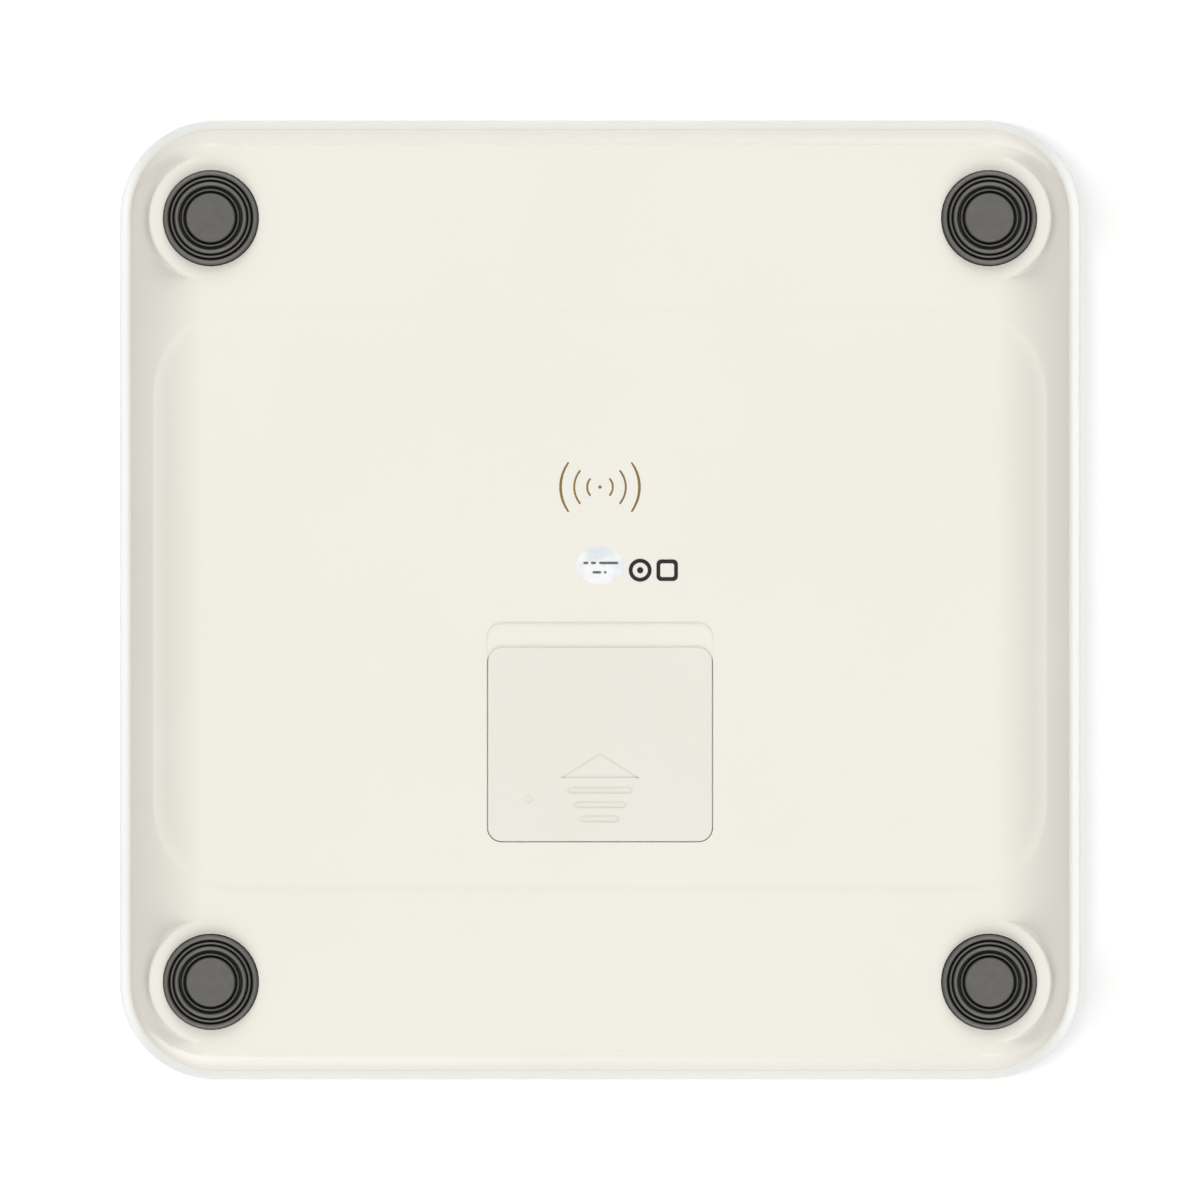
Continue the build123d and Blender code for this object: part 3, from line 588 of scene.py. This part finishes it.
def base_shell():
    """The CAD moulding with its outer skin rebuilt as a fine mesh with soft steps."""
    bm = bmesh.new()
    bm.from_mesh(nodes["base_shell"].data)
    bmesh.ops.remove_doubles(bm, verts=bm.verts, dist=0.002 * MM)
    bm.normal_update()
    tree = BVHTree.FromBMesh(bm)
    outer = [face for face in bm.faces if is_outer_face(face, tree)]
    bmesh.ops.delete(bm, geom=outer, context="FACES")
    loops = edge_loops(bm)
    loops.sort(key=len, reverse=True)
    outlines = [[(v.co.x, v.co.y) for v in loop] for loop in loops]

    points, edges, owners = [], [], []
    for loop, outline in zip(loops, outlines):
        first = len(points)
        points += outline
        owners += loop
        edges += [(first + i, first + (i + 1) % len(loop)) for i in range(len(loop))]
    rim = max(outlines, key=lambda o: max(x for x, y in o))
    holes = [outline for outline in outlines if outline is not rim]
    for group, room in skin_points():
        group = thin_out(points, group, room)
        x, y = np.array(group).T
        wanted = inset_of(x, y, RIM, RIM, RIM_CORNER) > 0.3 * MM
        for hole in holes:
            wanted &= ~inside_loop(x, y, hole)
        points += [point for point, keep in zip(group, wanted) if keep]

    made = geometry.delaunay_2d_cdt([Vector(p) for p in points], edges, [], 0, 1e-7)
    flat, triangles, origins = made[0], made[2], made[3]
    x, y = np.array([(p.x, p.y) for p in flat]).T
    heights = underside(x, y)
    corners = np.array(triangles)
    middle_x, middle_y = x[corners].mean(axis=1), y[corners].mean(axis=1)
    wanted = inside_loop(middle_x, middle_y, rim)
    for hole in holes:
        wanted &= ~inside_loop(middle_x, middle_y, hole)

    verts = []
    for i, place in enumerate(flat):
        known = [k for k in origins[i] if k < len(owners)]
        verts.append(owners[known[0]] if known else bm.verts.new((place.x, place.y, heights[i])))
    for triangle, keep in zip(triangles, wanted):
        if keep:
            bm.faces.new([verts[k] for k in reversed(triangle)])
    loose = [v for v in bm.verts if not v.link_faces]
    bmesh.ops.delete(bm, geom=loose, context="VERTS")
    bmesh.ops.recalc_face_normals(bm, faces=bm.faces)
    open_left = sum(1 for e in bm.edges if len(e.link_faces) != 2)
    print("base shell:", len(bm.faces), "faces,", len(loops), "outlines,", open_left, "open edges")
    mesh = bpy.data.meshes.new("base_moulding")
    bm.to_mesh(mesh)
    bm.free()
    if "custom_normal" in mesh.attributes:
        mesh.attributes.remove(mesh.attributes["custom_normal"])
    smooth(mesh, 32)
    add_piece("base_moulding", mesh, "base", "shell_plastic", "base_shell")


# ---- glass, treads, label and display ----
def rounded_outline(half, corner, steps):
    """Points of a rounded square, the same number whatever its size."""
    points = []
    for quarter, (sx, sy) in enumerate(((1, 1), (-1, 1), (-1, -1), (1, -1))):
        for i in range(steps + 1):
            angle = math.pi / 2 * (quarter + i / steps)
            points.append((sx * (half - corner) + corner * math.cos(angle),
                           sy * (half - corner) + corner * math.sin(angle)))
    return points


def round_ring(middle, radius_x, radius_y, height, count):
    """Points round an upright axis, on a circle or an oval."""
    turns = [2 * math.pi * i / count for i in range(count)]
    return [(middle.x + radius_x * math.cos(a), middle.y + radius_y * math.sin(a), height) for a in turns]


def add_stack(bm, rings):
    """Adds to a mesh the closed skin through rings of the same number of points, with flat caps."""
    rows = [[bm.verts.new(point) for point in ring] for ring in rings]
    for low, high in zip(rows, rows[1:]):
        for i in range(len(low)):
            k = (i + 1) % len(low)
            bm.faces.new((low[i], low[k], high[k], high[i]))
    bm.faces.new(list(reversed(rows[0])))
    bm.faces.new(rows[-1])


def stack_rings(rings):
    """New mesh that holds one such skin."""
    bm = bmesh.new()
    add_stack(bm, rings)
    return bm


def finish_mesh(bm, name, angle=30):
    bmesh.ops.recalc_face_normals(bm, faces=bm.faces)
    mesh = bpy.data.meshes.new(name)
    bm.to_mesh(mesh)
    bm.free()
    smooth(mesh, angle)
    return mesh


def glass_slab():
    """The platform: clear faces with a ground band round them, and a rounded edge."""
    half = GLASS_HIGH.x
    quarter = [math.pi / 2 * i / 6 for i in range(7)]
    profile = [(GLASS_GROUND, GLASS_LOW.z)]
    for a in quarter:
        profile.append((GLASS_ROUND * (1 - math.sin(a)), GLASS_LOW.z + GLASS_ROUND * (1 - math.cos(a))))
    for a in quarter:
        profile.append((GLASS_ROUND * (1 - math.cos(a)), GLASS_HIGH.z - GLASS_ROUND * (1 - math.sin(a))))
    profile.append((GLASS_GROUND, GLASS_HIGH.z))
    rings = [[(x, y, z) for x, y in rounded_outline(half - inset, GLASS_CORNER - inset, 24)]
             for inset, z in profile]
    mesh = finish_mesh(stack_rings(rings), "glass_slab", 40)
    piece = add_piece("glass_slab", mesh, "base", "platform_glass", "glass_platform")
    set_material(piece, finishes["platform_glass"], ground_glass())
    for face in mesh.polygons:          # the two caps are the only faces with more than four corners
        face.material_index = 0 if len(face.vertices) > 4 else 1


def tread_depth(radius):
    """How far the tread's surface lies above the floor at a radius, both in mm."""
    disc_radius, disc_depth = TREAD_DISC
    factor, power = DISC_EDGE
    depth = disc_depth + factor * max(0, radius - disc_radius) ** power
    for middle, reach, top in TREAD_RIDGES:
        share = abs(radius - middle) / reach
        depth = min(depth, top + (TREAD_FLOOR - top) * share ** RIDGE_POWER)
    return min(depth, TREAD_FLOOR)


def foot_tread(corner):
    """Ringed rubber tread, turned round the foot's axis."""
    low, high = FOOT_BOXES[corner]
    middle = centre(low, high)
    samples = [0.1 * i for i in range(1, round(TREAD_RIM * 10) - 2)]
    profile = [(r, tread_depth(r)) for r in samples]
    edge = tread_depth(samples[-1])
    profile += [(TREAD_RIM - 0.12, edge + 0.14), (TREAD_RIM - 0.03, edge + 0.35), (TREAD_RIM, edge + 0.6)]
    profile += [(TREAD_RIM, TREAD_BACK - TREAD_BREAK), (TREAD_RIM - TREAD_BREAK, TREAD_BACK)]
    profile += [(SPIGOT_RADIUS + TREAD_BREAK, TREAD_BACK), (SPIGOT_RADIUS, TREAD_BACK + TREAD_BREAK)]
    profile += [(SPIGOT_RADIUS, SPIGOT_TOP - TREAD_BREAK), (SPIGOT_RADIUS - TREAD_BREAK, SPIGOT_TOP)]
    rings = [round_ring(middle, r * MM, r * MM, low.z + z * MM, 112) for r, z in profile]
    mesh = finish_mesh(stack_rings(rings), f"tread_{corner}", 60)
    add_piece(f"tread_{corner}", mesh, f"foot_{corner}", "foot_rubber", f"foot_pad_{corner}")


def rounded_bar(bm, x, y, length, width, low, high):
    """Flat bar with round ends, added to a mesh under construction."""
    outline = []
    for side in (1, -1):
        for i in range(9):
            angle = math.pi * (i / 8 - 0.5)
            outline.append((x + side * ((length - width) / 2 + width / 2 * math.cos(angle)),
                            y + side * width / 2 * math.sin(angle)))
    add_stack(bm, [[(px, py, z) for px, py in outline] for z in (low, high)])


def sticker():
    """Oval foil label with a soft edge, and two rows of plain bars in place of wording."""
    middle = centre(LABEL_LOW, LABEL_HIGH)
    half_x, half_y = (LABEL_HIGH.x - LABEL_LOW.x) / 2, (LABEL_HIGH.y - LABEL_LOW.y) / 2
    face = LABEL_LOW.z + 0.01 * MM
    profile = [(0.0, LABEL_HIGH.z), (0.0, face + 0.05 * MM), (0.03 * MM, face + 0.02 * MM), (0.12 * MM, face)]
    rings = [round_ring(middle, half_x - inset, half_y - inset, z, 96) for inset, z in reversed(profile)]
    mesh = finish_mesh(stack_rings(rings), "sticker")
    add_piece("sticker", mesh, "base", "label_foil", "rating_label")
    bm = bmesh.new()
    for x, y, length in STICKER_BARS:
        rounded_bar(bm, middle.x + x * MM, middle.y + y * MM, length * MM, BAR_WIDTH,
                    LABEL_LOW.z, face + 0.004 * MM)
    ink = surface("sticker_ink", (0.09, 0.1, 0.1), (0.14, 0.15, 0.15), (0.4, 0.5), 4000, 0.005, 900)
    add_piece("sticker_bars", finish_mesh(bm, "sticker_bars"), "base", "black_ink", material=ink)


def segment(bm, x, y, reach, flat, low, high):
    """One bar with pointed ends, along X if flat is true, otherwise along Y."""
    tip, side = reach / 2, SEGMENT_WIDTH / 2
    plan = [(-tip, 0), (side - tip, -side), (tip - side, -side),
            (tip, 0), (tip - side, side), (side - tip, side)]
    if not flat:
        plan = [(-b, a) for a, b in plan]
    add_stack(bm, [[(x + a, y + b, z) for a, b in plan] for z in (low, high)])


def display_digits():
    """Dark bars of a seven-segment 0.0 on the display, with the rest of the segments left faint."""
    bars = {"top": (0, 1, True), "middle": (0, 0, True), "bottom": (0, -1, True),
            "upper_left": (-1, 0.5, False), "upper_right": (1, 0.5, False),
            "lower_left": (-1, -0.5, False), "lower_right": (1, -0.5, False)}
    middle = centre(MODULE_LOW, MODULE_HIGH)
    lit, faint = bmesh.new(), bmesh.new()
    for place in range(DIGIT_COUNT):
        x0 = middle.x + (place - (DIGIT_COUNT - 1) / 2) * DIGIT_PITCH
        for name, (dx, dy, flat) in bars.items():
            shown = place >= 2 and name != "middle"
            reach = (DIGIT_WIDTH if flat else DIGIT_HEIGHT / 2) - 1.2 * SEGMENT_WIDTH
            segment(lit if shown else faint, x0 + dx * DIGIT_WIDTH / 2, middle.y + dy * DIGIT_HEIGHT / 2,
                    reach, flat, MODULE_HIGH.z, MODULE_HIGH.z + (LIT_DEPTH if shown else FAINT_DEPTH))
    rounded_bar(lit, middle.x + DIGIT_PITCH, middle.y - DIGIT_HEIGHT / 2, 2.0 * MM, 1.9 * MM,
                MODULE_HIGH.z, MODULE_HIGH.z + LIT_DEPTH)
    rough = (0.3, 0.4)
    dark_ink = surface("segment_dark", (0.02, 0.024, 0.03), (0.03, 0.034, 0.04), rough, 900, 0.004)
    faint_ink = surface("segment_faint", (0.31, 0.355, 0.305), (0.3, 0.34, 0.295), rough, 900, 0.004)
    for name, bm, ink in (("segments_dark", lit, dark_ink), ("segments_faint", faint, faint_ink)):
        add_piece(name, finish_mesh(bm, name), "base", "display_face", material=ink)


# ---- stage, lights and camera ----
def stage_plane(name, height, faces_down, colour):
    """Sheet that is seen only from its front; one that faces down also shows in the gloss."""
    side = 4.0                          # half the sheet's width
    turn = -1 if faces_down else 1
    mesh = bpy.data.meshes.new(name)
    corners = [(-side, -side * turn, height), (side, -side * turn, height),
               (side, side * turn, height), (-side, side * turn, height)]
    mesh.from_pydata(corners, [], [(0, 1, 2, 3)])
    material, tree, shader = new_material(name)
    shader.inputs["Roughness"].default_value = 0.9
    shader.inputs["Specular IOR Level"].default_value = 0.0
    tone = blend_colours(tree, noise(tree, 3), colour, tuple(c * 0.995 for c in colour))
    tree.links.new(tone, shader.inputs["Base Color"])
    facing = tree.nodes.new("ShaderNodeNewGeometry")
    clear_where(tree, shader, facing.outputs["Backfacing"])
    mesh.materials.append(material)
    plane = bpy.data.objects.new(name, mesh)
    bpy.context.scene.collection.objects.link(plane)
    plane.visible_diffuse = False
    plane.visible_glossy = faces_down
    plane.visible_shadow = False
    return plane


def area_light(name, towards, distance, size, level, receivers=None, mirrored=True):
    """Soft box that faces the object; level is the light it gives a face turned squarely to it."""
    data = bpy.data.lights.new(name, "AREA")
    data.shape = "SQUARE"
    data.size = size
    data.energy = level * (math.pi * distance) ** 2
    lamp = bpy.data.objects.new(name, data)
    bpy.context.scene.collection.objects.link(lamp)
    away = Vector(towards).normalized()
    lamp.location = Vector((0, 0, GLASS_LOW.z)) + away * distance
    lamp.rotation_euler = (-away).to_track_quat("-Z", "Y").to_euler()
    lamp.visible_glossy = mirrored
    if receivers:
        lamp.light_linking.receiver_collection = receivers


def receiver_group(name, member, included):
    """Collection that makes a light reach only the member, or everything but it."""
    group = bpy.data.collections.new(name)
    group.objects.link(member)
    state = "INCLUDE" if included else "EXCLUDE"
    group.collection_objects[0].light_linking.link_state = state
    return group


def world_light(strength):
    """Even light from all round, and white where the camera looks past the set."""
    world = bpy.data.worlds.new("studio")
    world.use_nodes = True
    bpy.context.scene.world = world
    tree = world.node_tree
    shade = tree.nodes["Background"]
    shade.inputs["Color"].default_value = (1.0, 1.0, 1.0, 1)
    shade.inputs["Strength"].default_value = strength
    white = tree.nodes.new("ShaderNodeBackground")
    white.inputs["Color"].default_value = (0.97, 0.97, 0.968, 1)
    mix = tree.nodes.new("ShaderNodeMixShader")
    path = tree.nodes.new("ShaderNodeLightPath")
    tree.links.new(path.outputs["Is Camera Ray"], mix.inputs["Fac"])
    tree.links.new(shade.outputs["Background"], mix.inputs[1])
    tree.links.new(white.outputs["Background"], mix.inputs[2])
    tree.links.new(mix.outputs["Shader"], tree.nodes["World Output"].inputs["Surface"])


def camera():
    """Straight up at the underside from a metre and a half below."""
    distance = 1.5
    view_width = 0.350
    data = bpy.data.cameras.new("camera")
    data.sensor_width = 36
    data.lens = data.sensor_width * distance / view_width
    data.clip_end = 20
    view = bpy.data.objects.new("camera", data)
    bpy.context.scene.collection.objects.link(view)
    view.location = (0, 0, GLASS_LOW.z - distance)
    view.rotation_euler = (0, math.pi, 0)
    bpy.context.scene.camera = view


def studio():
    """Pale stage, three soft boxes below, two above, and the backdrop's own lights."""
    stage_plane("floor", 0.0, False, (0.93, 0.93, 0.925))
    backdrop = stage_plane("backdrop", GLASS_HIGH.z + 1.5 * MM, True, (0.96, 0.96, 0.955))
    only = receiver_group("backdrop_only", backdrop, True)
    others = receiver_group("all_but_backdrop", backdrop, False)
    world_light(0.41)
    # name, direction, distance, size, level
    area_light("low_middle", (0, 0, -1), 2.2, 1.2, 0.25, others, mirrored=False)
    area_light("low_near", (0, -0.86, -0.5), 2.4, 1.6, 0.66, others)
    area_light("low_far", (0, 0.86, -0.5), 2.4, 1.6, 0.62, others)
    area_light("high_near", (0.3, -0.45, 1.0), 2.4, 1.6, 0.45)
    area_light("high_far", (-0.3, 0.4, 1.0), 2.4, 1.6, 0.35)
    area_light("backdrop_front", (0, 0, -1), 2.2, 0.4, 0.45, only)
    for number, lean in enumerate((0.5, 0.9, 1.3), start=1):
        area_light(f"backdrop_side_{number}", (lean, 0, -1), 2.4, 0.9, 0.16, only)


# ---- build ----
finishes = slot_materials()
for part in frame["record"]["subparts"]:
    set_material(nodes[part["node"]], finishes[part["material_slot"]])
turned_jacket = battery_jacket(-1)
for number in (2, 4):
    set_material(nodes[f"battery_{number}"], turned_jacket)

base_shell()
glass_slab()
for corner in CORNERS:
    foot_tread(corner)
sticker()
display_digits()

bpy.context.scene.view_settings.view_transform = "Standard"
studio()
camera()
